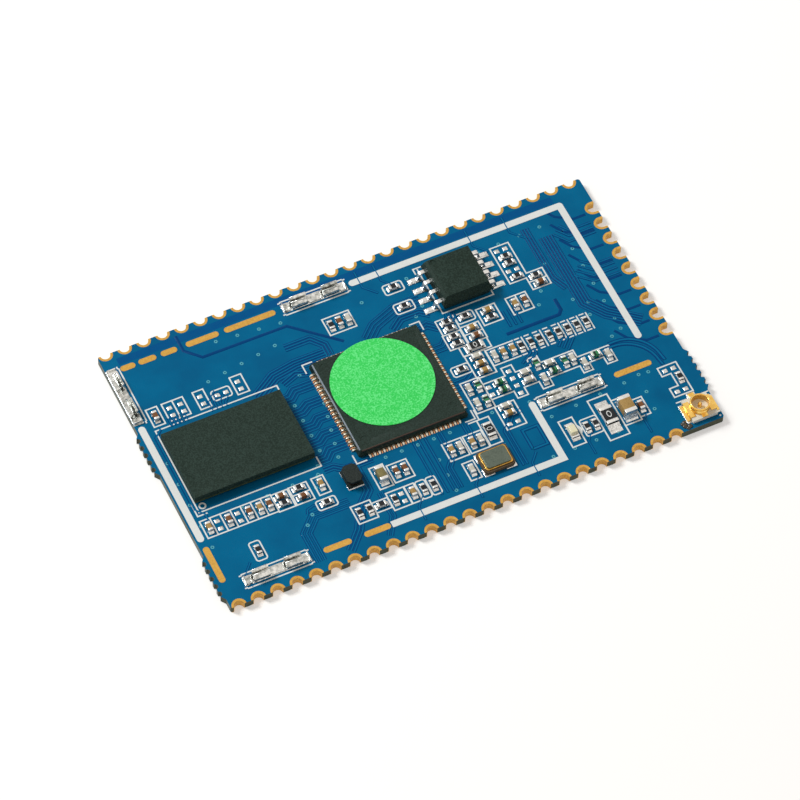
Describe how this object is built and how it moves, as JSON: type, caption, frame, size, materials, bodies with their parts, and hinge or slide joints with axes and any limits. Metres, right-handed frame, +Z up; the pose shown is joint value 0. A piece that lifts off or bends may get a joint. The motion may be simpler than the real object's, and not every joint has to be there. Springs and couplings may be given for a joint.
{
  "type": "wifi module",
  "caption": "Flat circuit module with half-hole solder pads along three edges, a labelled processor, memory chips, shield clips and a round antenna jack.",
  "frame": {"origin": "centre of the box's underside, on the board's bottom face", "axes": "+X along the board's long edge towards the antenna jack, +Y across it towards the edge beside the flash memory, +Z up from the part side"},
  "size_m": [0.0528, 0.0314, 0.0028],
  "materials": {
    "board": "satin blue solder mask over glass laminate",
    "gold_pads": "gold plated copper",
    "solder": "bright reflowed solder",
    "white_print": "matt screen print",
    "substrate": "sawn laminate",
    "chip_moulding": "fine matt moulding compound",
    "tinned_leads": "matt tin plate",
    "copper": "enamelled or bare copper",
    "green_label": "satin printed paper",
    "clip_sheet": "bright tinned sheet",
    "white_plastic": "moulded",
    "gold_contact": "polished gold plate",
    "dark_ceramic": "fired",
    "crystal_lid": "satin plated sheet",
    "ferrite": "ground ferrite",
    "white_ceramic": "fired alumina",
    "led_lens": "clear moulding over a yellow die",
    "tan_ceramic": "fired",
    "brown_ceramic": "fired",
    "pale_ceramic": "fired",
    "olive_ceramic": "fired",
    "green_ceramic": "fired",
    "black_glaze": "glazed",
    "tinned_ends": "bright tin plate",
    "flux": "baked resin"
  },
  "bodies": {
    "root": {"circuit_board": "board", "edge_pads_far": "gold_pads", "edge_pads_near": "gold_pads", "edge_pads_right": "gold_pads", "ground_strips": "gold_pads", "solder_lands": "solder", "shield_guide_print": "white_print", "outline_print": "white_print", "memory_substrate": "substrate", "memory_body": "chip_moulding", "memory_balls": "solder", "processor_body": "chip_moulding", "processor_outer_leads": "tinned_leads", "processor_inner_leads": "copper", "processor_thermal_pad": "solder", "round_label": "green_label", "flash_body": "chip_moulding", "flash_leads": "tinned_leads", "shield_clip_far": "clip_sheet", "shield_clip_left": "clip_sheet", "shield_clip_near": "clip_sheet", "shield_clip_step": "clip_sheet", "antenna_housing": "white_plastic", "antenna_ring": "gold_contact", "antenna_contact": "gold_contact", "crystal_base": "dark_ceramic", "crystal_rim": "gold_contact", "crystal_lid": "crystal_lid", "coil_core": "ferrite", "coil_winding": "copper", "coil_terminals": "tinned_leads", "led_base": "white_ceramic", "led_lens": "led_lens", "led_terminals": "tinned_leads", "tan_capacitors": "tan_ceramic", "brown_capacitors": "brown_ceramic", "white_capacitors": "pale_ceramic", "capacitor_ends": "tinned_ends", "resistor_bodies": "white_ceramic", "resistor_glaze": "black_glaze", "resistor_ends": "tinned_ends", "green_coils": "green_ceramic", "green_coil_ends": "tinned_ends", "link_bodies": "white_ceramic", "link_glaze": "black_glaze", "link_ends": "tinned_ends", "large_link_body": "white_ceramic", "large_link_glaze": "black_glaze", "large_link_ends": "tinned_ends", "tall_capacitor": "tan_ceramic", "tall_capacitor_ends": "tinned_ends", "medium_capacitor": "olive_ceramic", "medium_capacitor_ends": "tinned_ends", "flux_residue": "flux"}
  },
  "joints": []
}
